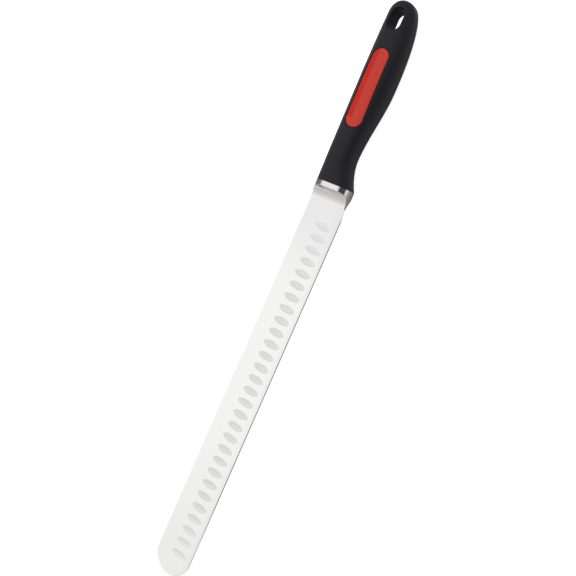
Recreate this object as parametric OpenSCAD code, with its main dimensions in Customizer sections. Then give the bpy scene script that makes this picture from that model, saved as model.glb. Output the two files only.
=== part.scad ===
// Carving knife: a long slicing blade with ground scallops and a rounded tip, a slotted bolster
// and a moulded handle with a coloured inlay let into each side.
// The knife lies on its side: +X points to the butt, +Y to the spine, +Z up through its thickness.
// Lengths along the knife are measured from the joint between the bolster and the handle, and
// heights from a centre line that runs the length of the knife. All sizes are in millimetres.

/* [Blade] */
// Length of the blade from the handle joint to the tip
blade_l = 285.6; // [240:0.1:320]
// Height of the blade's spine above the centre line
spine_h = 13.8; // [12:0.1:16]
// Depth of the cutting edge below the centre line
edge_h = 15.2; // [14.8:0.1:19]
// Thickness of the blade at the spine
blade_t = 2.2; // [1.8:0.1:3.2]
// Thickness of the blade at the top of the edge bevel
bevel_t = 1.2; // [1:0.05:1.5]
// Width of the ground bevel along the cutting edge
bevel_w = 3.5; // [2.5:0.1:5]
// Thickness of the blade at the top of the honed edge
hone_t = 0.4; // [0.2:0.05:0.6]
// Width of the honed edge
hone_w = 0.75; // [0.4:0.05:1.5]
// Thickness left at the cutting edge
edge_t = 0.06; // [0.04:0.01:0.1]
// Radius of the tip on the spine side
tip_r = 16.4; // [12:0.1:22]
// Distance from the handle joint to the heel, where the cutting edge starts
heel_at = 22; // [16:0.5:35]
// Small bevel that breaks both corners of the spine
spine_break = 0.25; // [0.1:0.05:0.5]

/* [Scallops] */
// Distance from the handle joint to the middle of the first scallop
scallop_first = 28.1; // [24:0.1:60]
// Distance from one scallop to the next
scallop_pitch = 8.64; // [7.8:0.01:14]
// Least distance from the last scallop's middle to the tip
scallop_end = 15; // [12:0.5:60]
// Height of a scallop's middle above the cutting edge
scallop_up = 10.9; // [8:0.1:16]
// Length of a scallop, across the blade
scallop_l = 13.5; // [8:0.1:15]
// Width of a scallop, along the blade
scallop_w = 5.2; // [3:0.1:6]
// Depth of a scallop
scallop_d = 0.3; // [0.1:0.05:0.35]
// Lean of each scallop, its lower end towards the tip, in degrees
scallop_lean = 5; // [0:1:15]

/* [Tang] */
// Length of the tang inside the handle
tang_l = 92; // [60:1:105]
// Width of the tang
tang_w = 11; // [8:0.5:12]
// Height of the tang's middle above the centre line
tang_y = 3.6; // [2.6:0.1:4.4]
// Depth that the neck and tang are ground back below the blade's faces, to seat the bolster
neck_relief = 0.1; // [0.05:0.05:0.2]
// Diameter of the holes that key the tang into the moulding
key_d = 5; // [3:0.5:6]
// Number of key holes
key_n = 3; // [1:1:4]

/* [Bolster] */
// Length of the polished band next to the handle
band_l = 3.3; // [2:0.1:8]
// Length of the concave ramp from the band down to the blade
ramp_l = 9; // [8.9:0.1:14]
// Thickness of steel left at the ramp's feather edge
feather_t = 0.12; // [0.08:0.01:0.3]

/* [Handle] */
// Length of the handle
handle_l = 131.7; // [120:0.1:150]
// Height of the handle's back at the bolster
back_front = 13.8; // [12.5:0.1:15]
// Height of the handle's back at its highest
back_high = 15.15; // [13.5:0.05:17]
// Distance from the joint to the highest part of the back
back_at = 112; // [90:1:118]
// Depth of the finger guard at the bolster
guard_h = 14.15; // [12.5:0.05:14.8]
// Slope of the guard's lower edge where it leaves the bolster
guard_slope = 0.6; // [0:0.05:0.8]
// Distance from the joint to the narrowest part of the neck
neck_at = 22.5; // [16:0.5:32]
// Depth of the belly line at the neck
neck_h = 6.5; // [5:0.1:9]
// Distance from the joint to the deepest part of the palm swell
palm_at = 72; // [55:0.5:85]
// Depth of the palm swell
palm_h = 11.4; // [9:0.1:14]
// Height of the butt's end point
butt_y = 5.6; // [2:0.1:8]
// Length of the rounded corner between the back and the butt
butt_corner = 10; // [6:0.5:14]
// Thickness of the handle at the bolster
front_t = 17; // [14:0.1:18.5]
// Thickness of the handle at the palm
palm_t = 19; // [17:0.1:22]
// Thickness that the handle would have at the butt without its rounded rim
butt_t = 13.2; // [11:0.1:17]
// Radius of the rounded rim at the butt
butt_r = 3.5; // [2:0.1:5]
// Squareness of the handle's section, where 2 is an ellipse
section_n = 2.7; // [2:0.1:4]

/* [Hanging hole] */
// Distance from the hole's middle to the end of the butt
hang_end = 12.6; // [11:0.1:16]
// Height of the hole's middle above the centre line
hang_y = 5.2; // [3.5:0.1:6.5]
// Length of the hole
hang_l = 15.5; // [11:0.1:17]
// Width of the hole
hang_w = 10; // [8:0.1:10.5]
// Bevel around both mouths of the hole
hang_bevel = 0.8; // [0.3:0.1:1.2]

/* [Inlays] */
// Length of each inlay
inlay_l = 56; // [40:0.5:60]
// Width of each inlay
inlay_w = 12.4; // [9:0.1:13.5]
// Distance from the joint to the middle of each inlay
inlay_at = 67.7; // [60:0.1:72]
// Height of an inlay's middle above the centre line
inlay_y = 2.85; // [1.5:0.05:4]
// Lean of the inlays, their butt end towards the back, in degrees
inlay_lean = 0.7; // [0:0.1:2]
// Depth of the inlays' pockets below the palm's widest point
pocket_d = 2.4; // [2:0.1:3.5]
// Height of the inlays above the handle's skin
inlay_proud = 0.25; // [0:0.05:0.6]
// Gap around each inlay
inlay_gap = 0.15; // [0.05:0.05:0.3]

/* [Hidden] */

steel = "gainsboro";
polish = "silver";
moulding = "#242528";
red = "#c93a2b";

over = 1;              // how far cutters run past what they cut
ring_points = 48;      // points around a section of the handle
ring_step = 3;         // spacing of the sections along the handle
end_rings = 11;        // sections in the rounded butt
nose = 0.02;           // the flat left where the butt's outline closes

// The faces of the blade are flat and lean together from the spine to the edge bevel.
face_slope = (blade_t - bevel_t) / 2 / (spine_h + edge_h - bevel_w);
face_lean = atan(face_slope);
function face_z(y) = blade_t / 2 - face_slope * (spine_h - y);

tip_edge_r = spine_h + edge_h - tip_r;
tip_y = spine_h - tip_r;

scallop_n = floor((blade_l - scallop_first - scallop_end) / scallop_pitch) + 1;
scallop_y = scallop_up - edge_h;
// A grinding wheel with a crowned rim leaves each scallop.
wheel_r = pow(scallop_l, 2) / (8 * scallop_d) + scallop_d / 2;
crown_r = pow(scallop_w, 2) / (8 * scallop_d) + scallop_d / 2;

front_y = (back_front - guard_h) / 2;
front_h = (back_front + guard_h) / 2;
blade_back = min(spine_h, back_front);
ramp_rise = front_t / 2 - face_z(front_y) - feather_t;
ramp_r = (pow(ramp_l, 2) + pow(ramp_rise, 2)) / (2 * ramp_rise);
ramp_end = band_l + ramp_l;

hang_at = handle_l - hang_end;
pocket_z = palm_t / 2 - pocket_d;

// The box of the whole knife gives the origin: the middle of its base.
top_y = max(spine_h, back_high);
low_y = max(edge_h, guard_h, palm_h);
rest_z = palm_t / 2 + inlay_proud;

// Easing between two levels as h runs from 0 to 1.
function clamp01(h) = min(max(h, 0), 1);
function ease(h) = pow(clamp01(h), 2) * (3 - 2 * clamp01(h));

// The handle's back, belly and half thickness at a distance u from the joint.
function fall(u, start, p, q) = pow(1 - pow(clamp01((u - start) / (handle_l + nose - start)), p), 1 / q);

function back(u) =
    let(line = back_front + (back_high - back_front) * ease(u / back_at))
    butt_y + (line - butt_y) * fall(u, handle_l - butt_corner, 2, 2);

function guard(u) =
    let(h = u / neck_at)
    -guard_h * (1 - ease(h)) - neck_h * ease(h) + guard_slope * u * pow(1 - h, 2);

function belly(u) =
    u < neck_at ? guard(u) :
    u < palm_at ? -neck_h - (palm_h - neck_h) * ease((u - neck_at) / (palm_at - neck_at)) :
    butt_y - (butt_y + palm_h) * fall(u, palm_at, 2.5, 2.8);

function side_line(u) =
    u < palm_at ? (front_t + (palm_t - front_t) * ease(u / palm_at)) / 2 :
    (palm_t - (palm_t - butt_t) * pow((u - palm_at) / (handle_l - palm_at), 2)) / 2;

function side(u) =
    let(w = clamp01((u - handle_l + butt_r) / butt_r))
    side_line(u) - butt_r * (1 - sqrt(1 - w * w));

function rounded(v) = sign(v) * pow(abs(v), 2 / section_n);

// The points of the handle's section, grown outwards.
function section(u, grow = 0) =
    let(middle = (back(u) + belly(u)) / 2, half = (back(u) - belly(u)) / 2 + grow)
    [for (i = [0 : ring_points - 1])
        let(a = 360 * i / ring_points)
        [middle + half * rounded(cos(a)), (side(u) + grow) * rounded(sin(a))]];

function steps(from, to) =
    let(n = ceil((to - from) / ring_step))
    [for (i = [0 : n]) from + (to - from) * i / n];

function end_steps() =
    [for (i = [1 : end_rings]) handle_l - butt_corner * (1 - sin(90 * i / end_rings))];

// A skin through the handle's sections at the given places.
module skin(places, grow = 0) {
    points = [for (u = places) for (p = section(u, grow)) [u, p[0], p[1]]];
    rings = len(places);
    m = ring_points;
    sides = [for (k = [0 : rings - 2]) for (i = [0 : m - 1])
        let(a = k * m + i, b = k * m + (i + 1) % m)
        each [[a, b, b + m], [a, b + m, a + m]]];
    caps = [[for (i = [m - 1 : -1 : 0]) i], [for (i = [0 : m - 1]) (rings - 1) * m + i]];
    polyhedron(points = points, faces = concat(sides, caps), convexity = 4);
}

// Moves the knife from its own lines to the middle of the base of its box.
module place() {
    translate([(blade_l - handle_l) / 2, (low_y - top_y) / 2, rest_z]) children();
}

// Extrudes an outline of [height, thickness] points along the knife.
module along(from, to) {
    translate([from, 0, 0]) rotate([90, 0, 90]) linear_extrude(to - from) children();
}

// Repeats a shape on the other side of the knife.
module both_sides() {
    children();
    mirror([0, 0, 1]) children();
}

// The blade's outline: two arcs at the tip, the heel and the tang.
module blade_outline() {
    tip_x = -blade_l;
    intersection() {
        translate([tip_x + tip_r, tip_y]) circle(tip_r, $fn = 180);
        translate([tip_x, tip_y]) square([tip_r, tip_r]);
    }
    intersection() {
        translate([tip_x + tip_edge_r, tip_y]) circle(tip_edge_r, $fn = 180);
        translate([tip_x, tip_y - tip_edge_r]) square([tip_edge_r, tip_edge_r]);
    }
    polygon([
        [tip_x, tip_y],
        [tip_x + tip_edge_r, -edge_h],
        [-heel_at, -edge_h],
        [-ramp_end, -guard_h],
        [-band_l, -guard_h],
        [-band_l, tang_y - tang_w / 2],
        [tang_l - tang_w / 4, tang_y - tang_w / 2],
        [tang_l, tang_y - tang_w / 4],
        [tang_l, tang_y + tang_w / 4],
        [tang_l - tang_w / 4, tang_y + tang_w / 2],
        [-band_l, tang_y + tang_w / 2],
        [-band_l, blade_back],
        [-ramp_end, blade_back],
        [-ramp_end - over, spine_h],
        [tip_x + tip_r, spine_h]
    ]);
}

// Ground stock: flat faces that lean together, set back by the relief, its spine's corners broken.
module ground_stock(from, to, relief) {
    half = blade_t / 2 - relief;
    low = face_z(-edge_h) - relief;
    along(from, to) polygon([
        [-edge_h, -low], [-edge_h, low],
        [spine_h - spine_break, half], [spine_h, half - spine_break],
        [spine_h, spine_break - half], [spine_h - spine_break, -half]
    ]);
}

// What the edge grind takes off one face, as [distance out from the edge, thickness] points.
module edge_waste() {
    polygon([
        [0, edge_t / 2], [over, edge_t / 2], [over, blade_t],
        [-bevel_w, blade_t], [-bevel_w, bevel_t / 2], [-hone_w, hone_t / 2]
    ]);
}

// The grind follows the edge, overlaps where the tip's arc starts and runs out round the tip.
module edge_grind() {
    run_out = bevel_w;
    arc_x = tip_edge_r - blade_l - run_out;
    late = 2;    // degrees that the arc's cutter leaves to the straight one
    both_sides() translate([-ramp_end - over, -edge_h, 0]) rotate([90, 0, -90])
        linear_extrude(-ramp_end - arc_x) edge_waste();
    both_sides() translate([arc_x, tip_y, 0]) rotate([0, 0, 180 + late])
        rotate_extrude(angle = 90 - 2 * late, $fn = 180) translate([tip_edge_r, 0]) edge_waste();
}

// The part of the wheel's rim that reaches the blade.
module wheel_rim() {
    rotate([0, 90, 0]) rotate([0, 0, -scallop_sweep()])
        rotate_extrude(angle = 2 * scallop_sweep(), $fn = 480)
        intersection() {
            translate([wheel_r - crown_r, 0]) circle(crown_r, $fn = 144);
            translate([wheel_r - 2 * scallop_d, -scallop_w]) square([3 * scallop_d, 2 * scallop_w]);
        }
}

function scallop_sweep() = 1.5 * asin(scallop_l / 2 / wheel_r);

module scallop() {
    translate([0, scallop_y, face_z(scallop_y)])
        rotate([face_lean, 0, 0]) rotate([0, 0, -scallop_lean])
        translate([0, 0, wheel_r - scallop_d]) wheel_rim();
}

// One row on each face, the far one half a pitch behind so that no two scallops meet.
module scallop_row(count, start) {
    for (i = [0 : count - 1]) translate([-start - i * scallop_pitch, 0, 0]) scallop();
}

// The blade with its neck and tang, before the edge and the scallops are ground.
module blade_blank() {
    difference() {
        intersection() {
            union() {
                ground_stock(-blade_l - over, -ramp_end, 0);
                ground_stock(-ramp_end - over, tang_l + over, neck_relief);
            }
            translate([0, 0, -blade_t]) linear_extrude(2 * blade_t) blade_outline();
        }
        for (i = [1 : key_n])
            translate([tang_l * i / (key_n + 0.6), tang_y, -blade_t]) cylinder(d = key_d, h = 2 * blade_t, $fn = 48);
    }
}

module blade() {
    color(steel) place() difference() {
        blade_blank();
        edge_grind();
        scallop_row(scallop_n, scallop_first);
        mirror([0, 0, 1]) scallop_row(scallop_n - 1, scallop_first + scallop_pitch / 2);
    }
}

// A collar with the handle's section, hollowed in front by a wheel on each side of the blade.
module bolster() {
    color(polish) place() difference() {
        along(-ramp_end, 0) polygon(section(0));
        both_sides() translate([-ramp_end, 0, face_z(0) + feather_t]) rotate([face_lean, 0, 0])
            translate([0, 0, ramp_r]) rotate([90, 0, 0])
            cylinder(r = ramp_r, h = 4 * front_h, center = true, $fn = 240);
        blade_blank();
    }
}

// A slot with round ends, as a solid that stands on its middle.
module pill(length, width, height) {
    reach = (length - width) / 2;
    for (x = [-reach, reach]) translate([x, 0, 0]) cylinder(d = width, h = height, $fn = 64);
    translate([-reach, -width / 2, 0]) cube([2 * reach, width, height]);
}

// The bevelled mouth of a slot with round ends.
module pill_mouth(length, width, bevel) {
    reach = (length - width) / 2;
    r = width / 2;
    for (x = [-reach, reach])
        translate([x, 0, 0]) cylinder(r1 = r, r2 = r + bevel + over, h = bevel + over, $fn = 64);
    translate([-reach, 0, 0]) along(0, 2 * reach)
        polygon([[-r, 0], [r, 0], [r + bevel + over, bevel + over], [-r - bevel - over, bevel + over]]);
}

module hang_hole() {
    translate([hang_at, hang_y, 0]) {
        translate([0, 0, -palm_t]) pill(hang_l, hang_w, 2 * palm_t);
        both_sides() translate([0, 0, side_line(hang_at) - hang_bevel]) pill_mouth(hang_l, hang_w, hang_bevel);
    }
}

// The space of an inlay: from its pocket's floor outwards, with its lean.
module inlay_space(gap) {
    translate([inlay_at, inlay_y, pocket_z]) rotate([0, 0, inlay_lean])
        pill(inlay_l + 2 * gap, inlay_w + 2 * gap, palm_t / 2);
}

module handle() {
    color(moulding) place() difference() {
        skin(concat(steps(0, handle_l - butt_corner), end_steps()));
        both_sides() inlay_space(inlay_gap);
        hang_hole();
        blade_blank();
    }
}

module inlay() {
    reach = inlay_l / 2 + over;
    intersection() {
        skin(steps(inlay_at - reach, inlay_at + reach), inlay_proud);
        inlay_space(0);
    }
}

module inlay_left() {
    color(red) place() inlay();
}

module inlay_right() {
    color(red) place() mirror([0, 0, 1]) inlay();
}

blade();
bolster();
handle();
inlay_left();
inlay_right();
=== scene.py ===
"""A carving knife on a white table: ground steel blade, polished bolster, moulded handle, red inlays.

The knife's own lines are in millimetres, as a cutler measures them: x from the joint between the
bolster and the handle (the tip is at minus the blade's length), y up to the spine and z through
the thickness. place() moves them to the CAD frame, in metres.
"""

import bmesh
import bpy
import numpy as np
from math import cos, pi, radians, sin, sqrt
from mathutils import Matrix, Vector


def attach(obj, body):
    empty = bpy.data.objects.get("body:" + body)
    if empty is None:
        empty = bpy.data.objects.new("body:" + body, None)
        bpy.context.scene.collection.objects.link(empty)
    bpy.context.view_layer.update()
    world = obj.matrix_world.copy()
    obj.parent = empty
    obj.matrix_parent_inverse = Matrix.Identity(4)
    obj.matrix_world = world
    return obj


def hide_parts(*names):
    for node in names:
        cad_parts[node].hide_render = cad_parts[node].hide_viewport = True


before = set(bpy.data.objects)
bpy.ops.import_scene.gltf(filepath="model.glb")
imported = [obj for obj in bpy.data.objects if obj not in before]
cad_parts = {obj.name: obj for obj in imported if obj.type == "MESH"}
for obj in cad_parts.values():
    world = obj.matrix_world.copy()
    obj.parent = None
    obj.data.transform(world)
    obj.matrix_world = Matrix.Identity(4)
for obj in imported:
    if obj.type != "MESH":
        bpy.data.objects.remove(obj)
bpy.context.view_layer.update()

# Sizes, in millimetres

BLADE_L, SPINE_H, EDGE_H = 285.6, 13.8, 15.2
BLADE_T, BEVEL_T, BEVEL_W = 2.2, 1.2, 3.5
HONE_T, HONE_W, EDGE_T = 0.4, 0.75, 0.06
TIP_R, HEEL_AT, SPINE_BREAK = 16.4, 22, 0.25

SCALLOP_FIRST, SCALLOP_PITCH, SCALLOP_N = 28.1, 8.64, 29
SCALLOP_UP, SCALLOP_L, SCALLOP_W = 10.9, 13.5, 5.2
SCALLOP_D, SCALLOP_LEAN = 0.3, 5

TANG_L, TANG_W, TANG_Y, TANG_T = 92, 11, 3.6, 1.7
BAND_L, RAMP_L, FEATHER_T = 3.3, 9, 0.01

HANDLE_L, BACK_FRONT, BACK_HIGH, BACK_AT = 131.7, 13.8, 15.15, 112
GUARD_H, GUARD_SLOPE, NECK_AT, NECK_H = 14.15, 0.6, 22.5, 6.5
PALM_AT, PALM_H, BUTT_Y, BUTT_CORNER = 72, 11.4, 5.6, 10
FRONT_T, PALM_T, BUTT_T, BUTT_R, SECTION_N = 17, 19, 13.2, 3.5, 2.7

HANG_END, HANG_Y, HANG_L, HANG_W, HANG_BEVEL = 14.1, 5.3, 16.2, 10.3, 0.9
INLAY_L, INLAY_W, INLAY_AT, INLAY_Y, INLAY_LEAN = 56, 12.4, 67.7, 2.85, 0.7
POCKET_D, INLAY_PROUD, INLAY_ROUND, POCKET_GAP, MOUTH = 2.4, 0.25, 0.6, 0.25, 0.35

NECK_UNDER, NECK_OVER = 0.6, 0.4  # how far the blade's neck stays inside the bolster, below and above
BEVEL_STOP = 1  # how far in front of the bolster the edge's bevels end
NOSE = 0.02  # keeps the butt's last ring open
CUT_PAST = 3  # how far the hole's cutter reaches past the handle's skin
SKIN_CLEAR = 0.02  # how far a pocket's cutter stands off the skin where its broken edge ends

FACE_SLOPE = (BLADE_T - BEVEL_T) / 2 / (SPINE_H + EDGE_H - BEVEL_W)
TIP_EDGE_R = SPINE_H + EDGE_H - TIP_R
TIP_Y = SPINE_H - TIP_R
RAMP_END = BAND_L + RAMP_L
POCKET_Z = PALM_T / 2 - POCKET_D

# How finely the meshes are divided: numbers of lines, and steps in millimetres

TIP_LINES, HEEL_LINES, COLUMN_STEP, ROW_STEP = 44, 24, 0.36, 0.45
ROW_MARGIN = 0.4  # how far the close rows run on past the scallops
CREASE = 0.03  # how far the lines beside a bevel's start stand from it
RAMP_LINES, BAND_LINES, COLLAR_TURN = 84, 6, 141
HANDLE_RINGS, BUTT_RINGS, HANDLE_TURN = 112, 26, 144
SLOT_TURN, INLAY_TURN, INLAY_RUN, ROUND_STEPS = 24, 40, 60, 8
FIELD_INSETS = 0.9, 1.6, 2.6, 3.8, 5.0

# The CAD frame

MM = 0.001
ORIGIN = np.array([(BLADE_L - HANDLE_L) / 2, (EDGE_H - BACK_HIGH) / 2, PALM_T / 2 + INLAY_PROUD])


def place(points):
    """The knife's own millimetres to the CAD frame's metres."""
    return (np.asarray(points, float) + ORIGIN) * MM


# The knife's lines

def face_z(y):
    """Half thickness of the blade at a height."""
    return BLADE_T / 2 - FACE_SLOPE * (SPINE_H - y)


def ease(h):
    """0 to 1 as h goes from 0 to 1, level at both ends."""
    h = np.clip(h, 0, 1)
    return h * h * (3 - 2 * h)


def fall(u, start, p, q):
    """1 up to the start, and down to nearly 0 at the butt's end in a rounded corner."""
    h = np.clip((u - start) / (HANDLE_L + NOSE - start), 0, 1)
    return (1 - h**p) ** (1 / q)


def back(u):
    """Height of the handle's back, which carries on the blade's spine."""
    line = BACK_FRONT + (BACK_HIGH - BACK_FRONT) * ease(u / BACK_AT)
    return BUTT_Y + (line - BUTT_Y) * fall(u, HANDLE_L - BUTT_CORNER, 2, 2)


def belly(u):
    """Height of the handle's underside: guard, finger hollow, palm and butt."""
    h = np.clip(u / NECK_AT, 0, 1)
    guard = -GUARD_H * (1 - ease(h)) - NECK_H * ease(h) + GUARD_SLOPE * u * (1 - h) ** 2
    palm = -NECK_H - (PALM_H - NECK_H) * ease((u - NECK_AT) / (PALM_AT - NECK_AT))
    butt = BUTT_Y - (BUTT_Y + PALM_H) * fall(u, PALM_AT, 2.5, 2.8)
    return np.where(u < NECK_AT, guard, np.where(u < PALM_AT, palm, butt))


def side(u):
    """Half thickness of the handle, with the rounded rim at the butt."""
    grows = (FRONT_T + (PALM_T - FRONT_T) * ease(u / PALM_AT)) / 2
    tapers = (PALM_T - (PALM_T - BUTT_T) * ((u - PALM_AT) / (HANDLE_L - PALM_AT)) ** 2) / 2
    w = np.clip((u - HANDLE_L + BUTT_R) / BUTT_R, 0, 1)
    return np.where(u < PALM_AT, grows, tapers) - BUTT_R * (1 - np.sqrt(1 - w * w))


def rounded(v):
    """A cosine or sine swelled out, so that a circle becomes a fuller oval."""
    return np.sign(v) * np.abs(v) ** (2 / SECTION_N)


def section(u, angles):
    """Heights and half thicknesses round the handle's section at u."""
    middle, half = (back(u) + belly(u)) / 2, (back(u) - belly(u)) / 2
    return middle + half * rounded(np.cos(angles)), side(u) * rounded(np.sin(angles))


def skin_z(u, y, grow=0.0):
    """Height of the handle's skin, grown outwards, above the middle plane at (u, y)."""
    middle, half = (back(u) + belly(u)) / 2, (back(u) - belly(u)) / 2 + grow
    share = np.clip(np.abs((y - middle) / half), 0, 1)
    return (side(u) + grow) * (1 - share**SECTION_N) ** (1 / SECTION_N)


# Nodes

class Wire:
    """A socket that takes part in Python sums, each of which adds its Math node."""

    def __init__(self, tree, socket):
        self.tree, self.socket = tree, socket

    def sum(self, operation, *others):
        return self.tree.add("ShaderNodeMath", {"operation": operation}, dict(enumerate(others)))

    def __add__(self, other):
        return self.sum("ADD", self, other)

    def __sub__(self, other):
        return self.sum("SUBTRACT", self, other)

    def __rsub__(self, other):
        return self.sum("SUBTRACT", other, self)

    def __mul__(self, other):
        return self.sum("MULTIPLY", self, other)

    def __truediv__(self, other):
        return self.sum("DIVIDE", self, other)

    def __neg__(self):
        return self.sum("MULTIPLY", self, -1)

    __radd__, __rmul__ = __add__, __mul__

    def root(self):
        return self.sum("SQRT", self)

    def nearest(self):
        return self.sum("ROUND", self)

    def most(self, other):
        return self.sum("MINIMUM", self, other)

    def least(self, other):
        return self.sum("MAXIMUM", self, other)

    def size(self):
        return self.sum("ABSOLUTE", self)

    def below(self, other):
        return self.sum("LESS_THAN", self, other)

    def eased(self, low, high):
        """0 below low and 1 above high, with a soft step between."""
        return self.tree.add(
            "ShaderNodeMapRange",
            {"interpolation_type": "SMOOTHSTEP"},
            {"Value": self, "From Min": low, "From Max": high},
        )

    def between(self, low, high):
        """Runs from low to high as this goes from 0 to 1."""
        return self.tree.add("ShaderNodeMapRange", {}, {"Value": self, "To Min": low, "To Max": high})


class Tree:
    """A node tree that is written as Python."""

    def __init__(self, tree):
        self.tree = tree

    def node(self, kind, settings=None, inputs=None):
        """Makes a node: its settings first, then the values or links of its sockets."""
        made = self.tree.nodes.new(kind)
        for name, value in (settings or {}).items():
            if name == "stops":
                made.color_ramp.interpolation = "EASE"
                ramp = made.color_ramp.elements
                while len(ramp) < len(value):
                    ramp.new(0.5)
                for stop, (at, colour) in zip(ramp, value):
                    stop.position, stop.color = at, colour
            else:
                setattr(made, name, value)
        for key, value in (inputs or {}).items():
            named = [s for s in made.inputs if s.identifier == key]
            socket = named[0] if named else made.inputs[key]
            if isinstance(value, Wire):
                self.tree.links.new(value.socket, socket)
            else:
                socket.default_value = value
        return made

    def add(self, kind, settings=None, inputs=None, out=0):
        """As node(), and gives one of its outputs."""
        return Wire(self, self.node(kind, settings, inputs).outputs[out])

    def mix(self, share, a, b):
        """A colour between a and b."""
        return self.add(
            "ShaderNodeMix",
            {"data_type": "RGBA"},
            {"Factor_Float": share, "A_Color": a, "B_Color": b},
            out=2,
        )

    def noise(self, scale, detail, stretch=(1, 1, 1)):
        """Noise over the piece's own place, finer along an axis that is stretched more."""
        where = self.add("ShaderNodeTexCoord", out="Object")
        turned = self.add("ShaderNodeMapping", {}, {"Vector": where, "Scale": stretch})
        return self.add("ShaderNodeTexNoise", {}, {"Vector": turned, "Scale": scale, "Detail": detail})

    def place(self):
        """The three coordinates of the piece's own place, in metres."""
        where = self.add("ShaderNodeTexCoord", out="Object")
        parts = self.node("ShaderNodeSeparateXYZ", {}, {"Vector": where})
        return [Wire(self, s) for s in parts.outputs]

    def levels(self, value, stops):
        """A level that runs smoothly through (place, level) stops as the value goes from 0 to 1."""
        ramp = [(at, grey(level)) for at, level in stops]
        return self.add("ShaderNodeValToRGB", {"stops": ramp}, {"Fac": value})

    def bump(self, height, strength, distance):
        sizes = {"Height": height, "Strength": strength, "Distance": distance}
        return self.add("ShaderNodeBump", {}, sizes)


def finish_named(name, make):
    """A material whose shader's inputs come from make(tree)."""
    material = bpy.data.materials.new(name)
    material.use_nodes = True
    material.node_tree.nodes.clear()
    tree = Tree(material.node_tree)
    shader = tree.add("ShaderNodeBsdfPrincipled", {}, make(tree))
    tree.node("ShaderNodeOutputMaterial", {}, {"Surface": shader})
    return material


def grey(level):
    return (level, level, level, 1)


# Scallops

SCALLOP_SIZES = ("First", "Pitch", "Count", "Middle", "Depth", "Wheel", "Crown", "Lean x", "Lean y")


def scallop_sizes(first, count):
    """What the scallops of one face are ground by, in metres, in the order of SCALLOP_SIZES."""
    wheel = SCALLOP_L**2 / (8 * SCALLOP_D) + SCALLOP_D / 2
    crown = SCALLOP_W**2 / (8 * SCALLOP_D) + SCALLOP_D / 2
    lean = radians(SCALLOP_LEAN)
    x, y, _ = place([-first, SCALLOP_UP - EDGE_H, 0])
    return [x, SCALLOP_PITCH * MM, count, y, SCALLOP_D * MM, wheel * MM, crown * MM, cos(lean), sin(lean)]


def scallop_drop(x, y, first, pitch, count, middle, depth, wheel, crown, lean_x, lean_y):
    """How far below a flat face the nearest scallop's wheel reaches, below 0 inside the scallop."""
    number = ((first - x) / pitch).nearest().least(0).most(count - 1)
    dx = x - first + number * pitch
    dy = y - middle
    across = dx * lean_x - dy * lean_y
    along = dx * lean_y + dy * lean_x
    rim = (crown * crown - across * across).least(0).root() + (wheel - crown)
    return (wheel - depth) - (rim * rim - along * along).root()


# Where the finishes and the painted light change, in metres: where each change starts and where it ends

FACE_TURN = -0.0001, 0.0001  # up through the blade from its middle plane
HOLLOW_TURN = 0, 0.00007  # down into a scallop
HONE_TURN = 0.5 * HONE_W * MM, 0.8 * HONE_W * MM  # in from the edge
TIP_TURN = 0.020, 0.062  # along the blade from its tip
HEEL_TURN = -0.050, -0.006  # along the blade, measured from its heel
BAND_TURN = -0.00025, 0.00005  # along the bolster, measured from its crease, to the buffed band
CREASE_TURN = -0.0024, -0.0006  # the same, to the painted shade in the crease
FOOT_TURN = 0, 0.0045  # along the ramp from its thin end
SHADE_TURN = -0.0120, -0.0060  # up the crease's painted shade, measured from the bolster's top, to where it is painted darkest
OVER_TURN = -0.0088, -0.0062  # up the band, measured from the bolster's top, to its painted dark reflection
UNDER_TURN = 0.0004, 0.0011  # up from the bolster's lowest point, to where its painted shade ends
BACK_TURN = 0.0012, 0.0026  # across the inlay from its middle line, to the handle's back, where the painted sheen stops
FRONT_TURN = -0.0235, -0.0205  # along the inlay, measured from its middle; in front of it the back side keeps its painted sheen


# Materials

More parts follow.
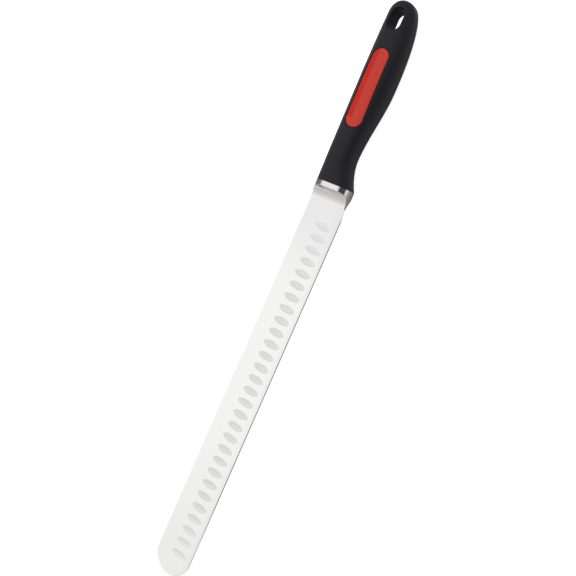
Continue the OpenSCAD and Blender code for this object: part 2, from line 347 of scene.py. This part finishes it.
def ground_steel(tree):
    """Satin steel ground across the blade, rougher in the scallops and along the honed edge. Both carry
    painted shade, painted lighter near the tip; near the heel it gives way to one even grey.
    """
    lines = tree.noise(1, 3, (5200, 90, 90))
    cloud = tree.noise(22, 2)
    x, y, z = tree.place()
    near_face = (z - ORIGIN[2] * MM).eased(*FACE_TURN)
    near = scallop_sizes(SCALLOP_FIRST, SCALLOP_N)
    far = scallop_sizes(SCALLOP_FIRST + SCALLOP_PITCH / 2, SCALLOP_N - 1)
    near_drop = scallop_drop(x, y, *near)
    far_drop = scallop_drop(x, y, *far)
    drop = far_drop + near_face * (near_drop - far_drop)
    hollow = (-drop).eased(*HOLLOW_TURN)
    arc_x, arc_y, _ = place([TIP_EDGE_R - BLADE_L - BEVEL_W, TIP_Y, 0])
    dx, dy = x - arc_x, y - arc_y
    straight = y - place([0, -EDGE_H, 0])[1]
    round_in = TIP_EDGE_R * MM - (dx * dx + dy * dy).root()
    at_tip = dx.below(0) * dy.below(0)
    inwards = straight + at_tip * (round_in - straight)
    honed = 1 - inwards.eased(*HONE_TURN)
    by_tip = 1 - (x - place([-BLADE_L, 0, 0])[0]).eased(*TIP_TURN)
    by_heel = (x - place([-HEEL_AT, 0, 0])[0]).eased(*HEEL_TURN)
    # Painted shade: the honed edge is painted dark, turning to a painted highlight near the tip.
    edge = tree.mix(by_tip, (0.20, 0.20, 0.21, 1), (0.85, 0.85, 0.85, 1))
    face = tree.mix(cloud.between(0.2, 0.8), (0.92, 0.92, 0.92, 1), (0.955, 0.945, 0.935, 1))
    # Painted shade: the scallops are painted darker than the face, less so near the tip.
    painted_shade = tree.mix(cloud.between(0.2, 0.8), (0.815, 0.815, 0.81, 1), (0.85, 0.845, 0.835, 1))
    painted_shade = tree.mix(by_tip, painted_shade, (0.89, 0.885, 0.885, 1))
    # Near the heel the scallops' painted shade gives way to one even grey.
    ground = tree.mix(by_heel, tree.mix(hollow, face, painted_shade), (0.885, 0.88, 0.88, 1))
    return {
        "Base Color": tree.mix(honed, ground, edge),
        "Metallic": 1.0,
        "Roughness": 0.13 + 0.08 * lines + 0.16 * hollow + 0.1 * honed,
        "Normal": tree.bump(lines, 0.05, 0.00002),
    }


def polished_steel(tree):
    """A hazy buffed band and a rougher ramp, with painted shade: the ramp painted darker towards the crease,
    the crease darker still and darkest near the top, a painted dark reflection high on the band and painted
    shade along the bottom.
    """
    haze = tree.noise(160, 3)
    lines = tree.noise(1, 2, (400, 3600, 400))
    x, y, _ = tree.place()
    crease_x, low, _ = place([-BAND_L, -GUARD_H, 0])
    foot_x, top, _ = place([-RAMP_END, BACK_FRONT, 0])
    band = (x - crease_x).eased(*BAND_TURN)
    foot = (x - foot_x).eased(*FOOT_TURN)
    crease = (x - crease_x).eased(*CREASE_TURN)
    spine_side = (y - top).eased(*SHADE_TURN)
    # Painted shade along the bottom of the collar.
    under_shade = 1 - (y - low).eased(*UNDER_TURN)
    # Painted reflection: the upper part of the band is painted dark.
    over = band * (y - top).eased(*OVER_TURN)
    buffed = tree.mix(haze.between(0.3, 0.7), (0.84, 0.83, 0.82, 1), (0.90, 0.89, 0.88, 1))
    satin_shade = tree.mix(haze.between(0.3, 0.7), (0.80, 0.78, 0.76, 1), (0.85, 0.83, 0.81, 1))
    # Painted shade in the crease, painted darkest near the top.
    painted_shade = tree.mix(spine_side, (0.74, 0.72, 0.70, 1), (0.32, 0.31, 0.30, 1))
    # The ramp's painted shade: lighter at its thin end, darker towards the crease.
    ramp = tree.mix(crease, tree.mix(foot, (0.91, 0.905, 0.90, 1), satin_shade), painted_shade)
    steel = tree.mix(over, tree.mix(band, ramp, buffed), (0.19, 0.19, 0.195, 1))
    return {
        "Base Color": tree.mix(under_shade, steel, (0.30, 0.275, 0.255, 1)),
        "Metallic": 1.0,
        "Roughness": 0.22 - 0.13 * band + 0.05 * haze,
        "Normal": tree.bump(lines, 0.04, 0.00002),
    }


def black_moulding(tree):
    """Black plastic, a little blue, with a fine spark-eroded grain."""
    grain = tree.noise(2600, 2)
    wear = tree.noise(38, 3)
    fresh, rubbed = (0.0155, 0.0160, 0.0205, 1), (0.0180, 0.0180, 0.0210, 1)
    return {
        "Base Color": tree.mix(wear.between(0.2, 0.8), fresh, rubbed),
        "Roughness": 0.34 + 0.10 * wear + 0.05 * grain,
        "IOR": 1.26,
        "Normal": tree.bump(grain, 0.12, 0.00003),
    }


def red_insert(tree):
    """Red plastic, paler across its field with a painted sheen, and deeper along the side next to the
    handle's back, where the sheen is left out but for the front end.
    """
    grain = tree.noise(1900, 2)
    cloud = tree.noise(60, 3)
    x, y, _ = tree.place()
    at_x, at_y, _ = place([INLAY_AT, INLAY_Y, 0])
    lean = radians(INLAY_LEAN)
    along = (x - at_x) * cos(lean) + (y - at_y) * sin(lean)
    across = (y - at_y) * cos(lean) - (x - at_x) * sin(lean)
    # Painted sheen: the field is painted paler, the back side deeper except near the front end.
    back_without_sheen = across.eased(*BACK_TURN) * along.eased(*FRONT_TURN)
    body = tree.mix(back_without_sheen, (0.585, 0.052, 0.036, 1), (0.535, 0.018, 0.007, 1))
    return {
        "Base Color": tree.mix(cloud.between(0.0, 0.25), body, (0.50, 0.020, 0.012, 1)),
        "Roughness": 0.42 + 0.10 * cloud,
        "IOR": 1.33,
        "Normal": tree.bump(grain, 0.10, 0.00003),
    }


STEEL = finish_named("ground_steel", ground_steel)
POLISH = finish_named("polished_steel", polished_steel)
BLACK = finish_named("black_moulding", black_moulding)
RED = finish_named("red_insert", red_insert)


# Meshes

def piece(name, points, faces, material):
    """A mesh of one material from points in the knife's millimetres."""
    mesh = bpy.data.meshes.new(name)
    mesh.from_pydata(place(points).tolist(), [], faces)
    mesh.materials.append(material)
    made = bpy.data.objects.new(name, mesh)
    bpy.context.scene.collection.objects.link(made)
    return made


def smooth(made, sharp):
    """Smooth shading that breaks at edges sharper than the angle, in degrees."""
    made.data.shade_smooth()
    made.data.set_sharp_from_angle(angle=radians(sharp))


def sheet(rows, columns, start=0, flip=False):
    """Quads over a grid of points that is stored row by row."""
    faces = []
    for r in range(rows - 1):
        for c in range(columns - 1):
            a = start + r * columns + c
            quad = (a, a + 1, a + columns + 1, a + columns)
            faces.append(quad[::-1] if flip else quad)
    return faces


def outwards(made):
    """Merges doubles, drops faces without area and points the rest outwards."""
    work = bmesh.new()
    work.from_mesh(made.data)
    bmesh.ops.remove_doubles(work, verts=work.verts, dist=1e-7)
    bmesh.ops.dissolve_degenerate(work, dist=1e-7, edges=work.edges)
    bmesh.ops.recalc_face_normals(work, faces=work.faces)
    work.to_mesh(made.data)
    work.free()


def plain(made):
    """The object with its modifiers worked into its mesh."""
    deps = bpy.context.evaluated_depsgraph_get()
    mesh = bpy.data.meshes.new_from_object(made.evaluated_get(deps), depsgraph=deps)
    made.modifiers.clear()
    made.data = mesh
    return made


# Blade

def scallop_tree():
    """Geometry nodes that hollow a row of scallops into a flat face, as a crowned wheel does."""
    group = bpy.data.node_groups.new("scallop_row", "GeometryNodeTree")
    group.interface.new_socket("Face", in_out="INPUT", socket_type="NodeSocketGeometry")
    for name in SCALLOP_SIZES:
        group.interface.new_socket(name, in_out="INPUT", socket_type="NodeSocketFloat")
    group.interface.new_socket("Steel", in_out="INPUT", socket_type="NodeSocketMaterial")
    group.interface.new_socket("Face", in_out="OUTPUT", socket_type="NodeSocketGeometry")
    tree = Tree(group)
    given = tree.node("NodeGroupInput")
    face, *sizes, steel = (Wire(tree, s) for s in given.outputs[:len(SCALLOP_SIZES) + 2])
    where = tree.add("GeometryNodeInputPosition")
    x, y, _ = (Wire(tree, s) for s in tree.node("ShaderNodeSeparateXYZ", {}, {"Vector": where}).outputs)
    offset = tree.add("ShaderNodeCombineXYZ", {}, {"Z": scallop_drop(x, y, *sizes).most(0)})
    ground = tree.add("GeometryNodeSetPosition", {}, {"Geometry": face, "Offset": offset})
    whole = tree.add("GeometryNodeRealizeInstances", {}, {"Geometry": ground})
    steeled = tree.add("GeometryNodeSetMaterial", {}, {"Geometry": whole, "Material": steel})
    tree.node("NodeGroupOutput", {}, {"Face": steeled})
    return group


SCALLOP_TREE = scallop_tree()


def blade_columns():
    """Places along the blade: close together in the scallops and closer round the tip."""
    stop = -RAMP_END - BEVEL_STOP
    tip = -BLADE_L + TIP_R * (1 - np.cos(np.linspace(0, pi / 2, TIP_LINES)))
    row = np.arange(tip[-1] + COLUMN_STEP, -HEEL_AT - 1.5, COLUMN_STEP)
    heel = np.linspace(-HEEL_AT - 1.4, stop - 0.2, HEEL_LINES)
    neck = [stop - 0.02, stop + 0.02, -RAMP_END, -RAMP_END + 0.01, -BAND_L]
    return np.concatenate([tip, row, heel, neck])


def blade_rows():
    """Heights across the blade, doubled where a bevel starts."""
    low = -EDGE_H + SCALLOP_UP - SCALLOP_L / 2 - ROW_MARGIN
    high = low + SCALLOP_L + 2 * ROW_MARGIN
    hone, bevel, rim = HONE_W - EDGE_H, BEVEL_W - EDGE_H, SPINE_H - SPINE_BREAK
    return np.concatenate([
        [-EDGE_H, -EDGE_H + 0.35, hone - CREASE, hone + CREASE],
        np.linspace(-EDGE_H + 1.4, bevel - 0.05, 4),
        [bevel + CREASE],
        np.arange(low, high, ROW_STEP),
        np.linspace(high + 0.6, rim - 0.1, 7),
        [rim - 0.02, rim + 0.02, SPINE_H],
    ])


def blade_low(x):
    """Height of the edge: round at the tip, straight, up to the guard's height, then the neck."""
    round_tip = TIP_Y - np.sqrt(np.clip(TIP_EDGE_R**2 - (x + BLADE_L - TIP_EDGE_R) ** 2, 0, None))
    heel = -EDGE_H + (EDGE_H - GUARD_H) * np.clip((x + HEEL_AT) / (HEEL_AT - RAMP_END), 0, 1)
    return np.where(x < TIP_EDGE_R - BLADE_L, round_tip, np.where(x > -RAMP_END, NECK_UNDER - GUARD_H, heel))


def blade_high(x):
    """Height of the spine: round at the tip, straight, then the neck."""
    round_tip = TIP_Y + np.sqrt(np.clip(TIP_R**2 - (x + BLADE_L - TIP_R) ** 2, 0, None))
    straight = np.where(x > -RAMP_END, BACK_FRONT - NECK_OVER, SPINE_H)
    return np.where(x < TIP_R - BLADE_L, round_tip, straight)


def ground_z(x, y):
    """Half thickness of the blade with its bevels, before the scallops."""
    arc_x = TIP_EDGE_R - BLADE_L - BEVEL_W
    round_in = TIP_EDGE_R - np.hypot(x - arc_x, y - TIP_Y)
    inwards = np.where((x < arc_x) & (y < TIP_Y), round_in, y + EDGE_H)
    bevel = np.interp(inwards, [0, HONE_W, BEVEL_W], [EDGE_T / 2, HONE_T / 2, BEVEL_T / 2])
    bevel = np.where((inwards < BEVEL_W) & (x < -RAMP_END - BEVEL_STOP), bevel, BLADE_T)
    spine = BLADE_T / 2 - np.clip(y - SPINE_H + SPINE_BREAK, 0, None)
    return np.minimum(np.minimum(face_z(y), bevel), spine)


def ground_face(first, count):
    """One face of the blade as points in rows, its scallops ground by the node tree."""
    x, y = np.meshgrid(blade_columns(), blade_rows())
    y = np.clip(y, blade_low(x), blade_high(x))
    points = np.stack([x, y, ground_z(x, y)], -1).reshape(-1, 3)
    made = piece("face", points, sheet(*x.shape), STEEL)
    grind = made.modifiers.new("scallops", "NODES")
    grind.node_group = SCALLOP_TREE
    sizes = dict(zip(SCALLOP_SIZES, map(float, scallop_sizes(first, count))), Steel=STEEL)
    for item in SCALLOP_TREE.interface.items_tree:
        if item.in_out == "INPUT" and item.name in sizes:
            grind[item.identifier] = sizes[item.name]
    plain(made)
    ground = np.array([v.co for v in made.data.vertices]) / MM - ORIGIN
    bpy.data.objects.remove(made)
    return ground, x.shape


def box_faces(start):
    """The six sides of a box, whose corners are listed with z running first, then y, then x."""
    quads = [(0, 2, 3, 1), (4, 5, 7, 6), (0, 1, 5, 4), (2, 6, 7, 3), (0, 4, 6, 2), (1, 3, 7, 5)]
    return [tuple(start + i for i in q) for q in quads]


def make_blade():
    """Two ground faces joined all round their outline, and the tang as a bar behind them."""
    front, (rows, columns) = ground_face(SCALLOP_FIRST, SCALLOP_N)
    rear, _ = ground_face(SCALLOP_FIRST + SCALLOP_PITCH / 2, SCALLOP_N - 1)
    rear = rear * [1, 1, -1]
    n = len(front)
    faces = sheet(rows, columns) + sheet(rows, columns, n, flip=True)
    last = (rows - 1) * columns
    for c in range(columns - 1):
        faces.append((c + 1, c, n + c, n + c + 1))
        faces.append((last + c, last + c + 1, n + last + c + 1, n + last + c))
    for r in range(rows - 1):
        for c in (0, columns - 1):
            a, b = r * columns + c, (r + 1) * columns + c
            faces.append((a, b, n + b, n + a))
    half = TANG_T / 2
    tang = [
        [x, TANG_Y + y, z]
        for x in (-BAND_L - 1, TANG_L) for y in (-TANG_W / 2, TANG_W / 2) for z in (-half, half)
    ]
    made = piece("blade_steel", np.concatenate([front, rear, tang]), faces + box_faces(2 * n), STEEL)
    outwards(made)
    smooth(made, 14)
    return made


# Bolster

def make_bolster():
    """A collar with the handle's section, hollowed in front down to the blade's faces."""
    angles = np.linspace(0, pi, COLLAR_TURN)
    y, z = section(np.array(0.0), angles)
    on_ramp = np.linspace(-RAMP_END, -BAND_L, RAMP_LINES)
    on_band = np.linspace(-BAND_L + 0.5, -0.25, BAND_LINES)
    cuts = np.concatenate([on_ramp, [-BAND_L + 0.05], on_band, [-0.12, 0]])
    front_y = (BACK_FRONT - GUARD_H) / 2
    rise = FRONT_T / 2 - face_z(front_y) - FEATHER_T
    wheel = (RAMP_L**2 + rise**2) / (2 * rise)
    x_grid, y_grid = np.meshgrid(cuts, y)
    reach = np.clip(x_grid + RAMP_END, 0, wheel)
    ramp = face_z(y_grid) + FEATHER_T + wheel - np.sqrt(wheel**2 - reach**2)
    z_grid = np.minimum(np.repeat(z[:, None], len(cuts), 1), np.where(x_grid <= -BAND_L, ramp, FRONT_T))
    one = np.stack([x_grid, y_grid, z_grid], -1).reshape(-1, 3)
    two = one * [1, 1, -1]
    n, (rows, columns) = len(one), x_grid.shape
    faces = sheet(rows, columns) + sheet(rows, columns, n, flip=True)
    for c in (0, columns - 1):
        for r in range(rows - 1):
            a, b = r * columns + c, (r + 1) * columns + c
            faces.append((a, b, n + b, n + a))
    made = piece("bolster_collar", np.concatenate([one, two]), faces, POLISH)
    outwards(made)
    smooth(made, 24)
    return made


# Handle

def pill(length, width, turns, run=0):
    """The outline of a slot round its middle: turns points on each round end, run on each side."""
    reach, r = (length - width) / 2, width / 2
    a = np.linspace(-pi / 2, pi / 2, turns)
    end = np.stack([reach + r * np.cos(a), r * np.sin(a)], -1)
    straight = np.stack([np.linspace(reach, -reach, run + 2)[1:-1], np.full(run, r)], -1)
    half = np.concatenate([end, straight])
    return np.concatenate([half, -half])


def turned(points, lean):
    """Points turned by the lean in degrees."""
    c, s = cos(radians(lean)), sin(radians(lean))
    return np.stack([points[:, 0] * c - points[:, 1] * s, points[:, 0] * s + points[:, 1] * c], -1)


def stack(name, rings, material):
    """A closed solid through rings of points, all with the same number of points."""
    m = len(rings[0])
    faces = [
        (k * m + i, k * m + (i + 1) % m, (k + 1) * m + (i + 1) % m, (k + 1) * m + i)
        for k in range(len(rings) - 1) for i in range(m)
    ]
    faces += [tuple(range(m))[::-1], tuple((len(rings) - 1) * m + i for i in range(m))]
    made = piece(name, np.concatenate(rings), faces, material)
    outwards(made)
    return made


def inlay_outline(grow):
    """The inlay's outline on the handle, grown outwards."""
    outline = pill(INLAY_L + 2 * grow, INLAY_W + 2 * grow, INLAY_TURN, INLAY_RUN)
    return turned(outline, INLAY_LEAN) + [INLAY_AT, INLAY_Y]


def pocket(sign):
    """The space that an inlay's pocket takes out of the handle, with a broken edge at its mouth."""
    rings = []
    for steps, lift in enumerate((-MOUTH, SKIN_CLEAR, MOUTH)):
        outline = inlay_outline(POCKET_GAP + steps * MOUTH)
        rings.append(np.column_stack([outline, sign * (skin_z(*outline.T) + lift)]))
    floor = np.column_stack([rings[0][:, :2], np.full(len(rings[0]), sign * POCKET_Z)])
    lid = np.column_stack([rings[-1][:, :2], np.full(len(rings[0]), sign * PALM_T)])
    return stack("pocket", [floor, *rings, lid], BLACK)


def hanging_hole():
    """The hanging hole's space, with a rounded mouth on each side."""
    at = HANDLE_L - HANG_END
    half = float(side(np.array(at)))
    turn = np.linspace(pi / 2, 0, ROUND_STEPS)
    mouth = [(half + CUT_PAST, HANG_BEVEL + CUT_PAST)]
    mouth += [(half - HANG_BEVEL * (1 - sin(a)), HANG_BEVEL * (1 - cos(a))) for a in turn]
    levels = [(-z, grow) for z, grow in mouth] + [(z, grow) for z, grow in reversed(mouth)]
    rings = []
    for z, grow in levels:
        outline = pill(HANG_L + 2 * grow, HANG_W + 2 * grow, SLOT_TURN)
        rings.append(np.column_stack([outline + [at, HANG_Y], np.full(len(outline), z)]))
    return stack("hole", rings, BLACK)


def make_handle():
    """The moulding through its sections, with the pockets and the hanging hole cut out."""
    tail = HANDLE_L - BUTT_CORNER * (1 - np.sin(np.linspace(0, pi / 2, BUTT_RINGS)))
    places = np.concatenate([np.linspace(0, HANDLE_L - BUTT_CORNER, HANDLE_RINGS), tail[1:]])
    angles = np.linspace(0, 2 * pi, HANDLE_TURN, endpoint=False)
    rings = []
    for u in places:
        y, z = section(np.array(u), angles)
        rings.append(np.column_stack([np.full(len(angles), u), y, z]))
    made = stack("handle_moulding", rings, BLACK)
    for cutter in (pocket(1), pocket(-1), hanging_hole()):
        cut = made.modifiers.new("cut", "BOOLEAN")
        cut.operation, cut.solver, cut.object = "DIFFERENCE", "EXACT", cutter
        plain(made)
        bpy.data.objects.remove(cutter)
    smooth(made, 28)
    return made


# Inlays

def make_inlay(name, sign):
    """An inlay that follows the handle's skin a little proud, with a rounded rim."""
    insets = np.concatenate([
        INLAY_ROUND * (1 - np.cos(np.linspace(0, pi / 2, ROUND_STEPS))),
        [*FIELD_INSETS, INLAY_W / 2 - 0.02],
    ])
    base = inlay_outline(0)
    rings = [np.column_stack([base, np.full(len(base), POCKET_Z)])]
    for inset in insets:
        outline = inlay_outline(-inset)
        top = skin_z(outline[:, 0], outline[:, 1], INLAY_PROUD)
        near = max(INLAY_ROUND - inset, 0)
        rings.append(np.column_stack([outline, top - INLAY_ROUND + sqrt(INLAY_ROUND**2 - near**2)]))
    rings = [ring * [1, 1, sign] for ring in rings]
    made = stack(name, rings, RED)
    smooth(made, 40)
    return made


# The knife

def dress(made, node):
    """Rides on the knife's body and stands for its CAD node, which it hides."""
    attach(made, "root")
    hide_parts(node)


dress(make_blade(), "blade")
dress(make_bolster(), "bolster")
dress(make_handle(), "handle")
dress(make_inlay("inlay_near", 1), "inlay_left")
dress(make_inlay("inlay_far", -1), "inlay_right")

# Table, light and camera

TABLE_HALF = 6.0  # metres
ROOM_LEVEL = 0.46  # what matt surfaces get from the room
EYE_GLOW, GLOSS_GLOW = 0.83, 0.14  # the table's own light, to the eye and in polished steel

# What polished steel sees of the room. The window's stops are degrees round the knife from straight
# above, growing towards the spine, each with its level. The walls' stops are how far a look turns
# along the knife, from -1 at the tip's side to 1 at the butt's. Between the two shares of ENDS, to
# either side, the window gives way to the walls.

WINDOW = (
    (-180, 0.20), (-100, 0.22), (-84, 0.60), (-68, 1.0), (-56, 0.55), (-48, 0.06), (-2, 0.06), (4, 0.75),
    (9, 0.97), (16, 1.0), (32, 1.0), (72, 0.86), (92, 0.35), (110, 0.13), (180, 0.20),
)
WALLS = (
    (-1, 0.50), (-0.8, 0.66), (-0.55, 0.80), (-0.34, 0.88), (-0.14, 0.98), (0.0, 0.98), (0.08, 0.90),
    (0.45, 0.85), (1, 0.75),
)
ENDS = 0.35, 0.65


def make_floor():
    """A white table that keeps the knife's shadow."""
    material = bpy.data.materials.new("white_table")
    material.use_nodes = True
    material.node_tree.nodes.clear()
    tree = Tree(material.node_tree)
    path = tree.node("ShaderNodeLightPath")
    eye, gloss, through = (
        Wire(tree, path.outputs[n]) for n in ("Is Camera Ray", "Is Glossy Ray", "Is Transmission Ray")
    )
    paper = tree.add("ShaderNodeBsdfDiffuse", {}, {"Color": grey(0.80)})
    strength = eye * EYE_GLOW + (gloss + through) * GLOSS_GLOW
    glow = tree.add("ShaderNodeEmission", {}, {"Color": grey(1), "Strength": strength})
    lit = tree.add("ShaderNodeAddShader", {}, {0: paper, 1: glow})
    tree.node("ShaderNodeOutputMaterial", {}, {"Surface": lit})
    mesh = bpy.data.meshes.new("table")
    r = TABLE_HALF
    mesh.from_pydata([(-r, -r, 0), (r, -r, 0), (r, r, 0), (-r, r, 0)], [], [(0, 1, 2, 3)])
    mesh.materials.append(material)
    table = bpy.data.objects.new("table", mesh)
    bpy.context.scene.collection.objects.link(table)


def make_world():
    """A white room, where polished steel sees a dark gap overhead between two bright stretches."""
    world = bpy.data.worlds.new("room")
    bpy.context.scene.world = world
    world.use_nodes = True
    world.node_tree.nodes.clear()
    tree = Tree(world.node_tree)
    way = tree.add("ShaderNodeTexCoord", out="Generated")
    x, y, z = (Wire(tree, s) for s in tree.node("ShaderNodeSeparateXYZ", {}, {"Vector": way}).outputs)
    round_knife = y.sum("ARCTAN2", y, z) / (2 * pi) + 0.5
    window = tree.levels(round_knife, [((a + 180) / 360, level) for a, level in WINDOW])
    walls = tree.levels(x * 0.5 + 0.5, [((a + 1) / 2, level) for a, level in WALLS])
    off_middle = x.size().eased(*ENDS)
    seen = walls * (off_middle + (1 - off_middle) * window)
    path = tree.node("ShaderNodeLightPath")
    camera = Wire(tree, path.outputs["Is Camera Ray"])
    glossy = Wire(tree, path.outputs["Is Glossy Ray"])
    level = camera + (1 - camera) * (glossy * seen + (1 - glossy) * ROOM_LEVEL)
    sky = tree.add("ShaderNodeBackground", {}, {"Color": grey(1), "Strength": level})
    tree.node("ShaderNodeOutputWorld", {}, {"Surface": sky})


def make_lamp():
    """A soft lamp up on the spine's side, aimed at the knife and not mirrored in its steel."""
    data = bpy.data.lights.new("window", "AREA")
    data.shape, data.size, data.energy = "DISK", 0.9, 14.5
    lamp = bpy.data.objects.new("window", data)
    bpy.context.scene.collection.objects.link(lamp)
    lamp.location = (0.1, 0.9, 1.3)
    lamp.visible_glossy = False
    lamp.rotation_euler = (-lamp.location).to_track_quat("-Z", "Y").to_euler()


def make_camera():
    """The photograph's view: from the edge's side and above, the knife running up the frame."""
    look_at = Vector((1.65, 1.895, 9.75)) * MM
    distance, tilt, yaw, roll = 0.706, radians(30), radians(1.9), radians(23.69)
    back_to_lens = Vector((sin(yaw), -sin(tilt) * cos(yaw), cos(tilt) * cos(yaw)))
    along = (Vector((1, 0, 0)) - back_to_lens * back_to_lens.x).normalized()
    across = along.cross(back_to_lens)
    right = sin(roll) * along + cos(roll) * across
    up = cos(roll) * along - sin(roll) * across
    data = bpy.data.cameras.new("photo_view")
    data.lens, data.sensor_width = 65.5, 36
    data.clip_start, data.clip_end = 0.01, 50
    camera = bpy.data.objects.new("photo_view", data)
    bpy.context.scene.collection.objects.link(camera)
    turn = Matrix((right, up, back_to_lens)).transposed().to_4x4()
    camera.matrix_world = Matrix.Translation(look_at + back_to_lens * distance) @ turn
    bpy.context.scene.camera = camera


make_floor()
make_world()
make_lamp()
make_camera()
bpy.context.scene.view_settings.view_transform = "Standard"
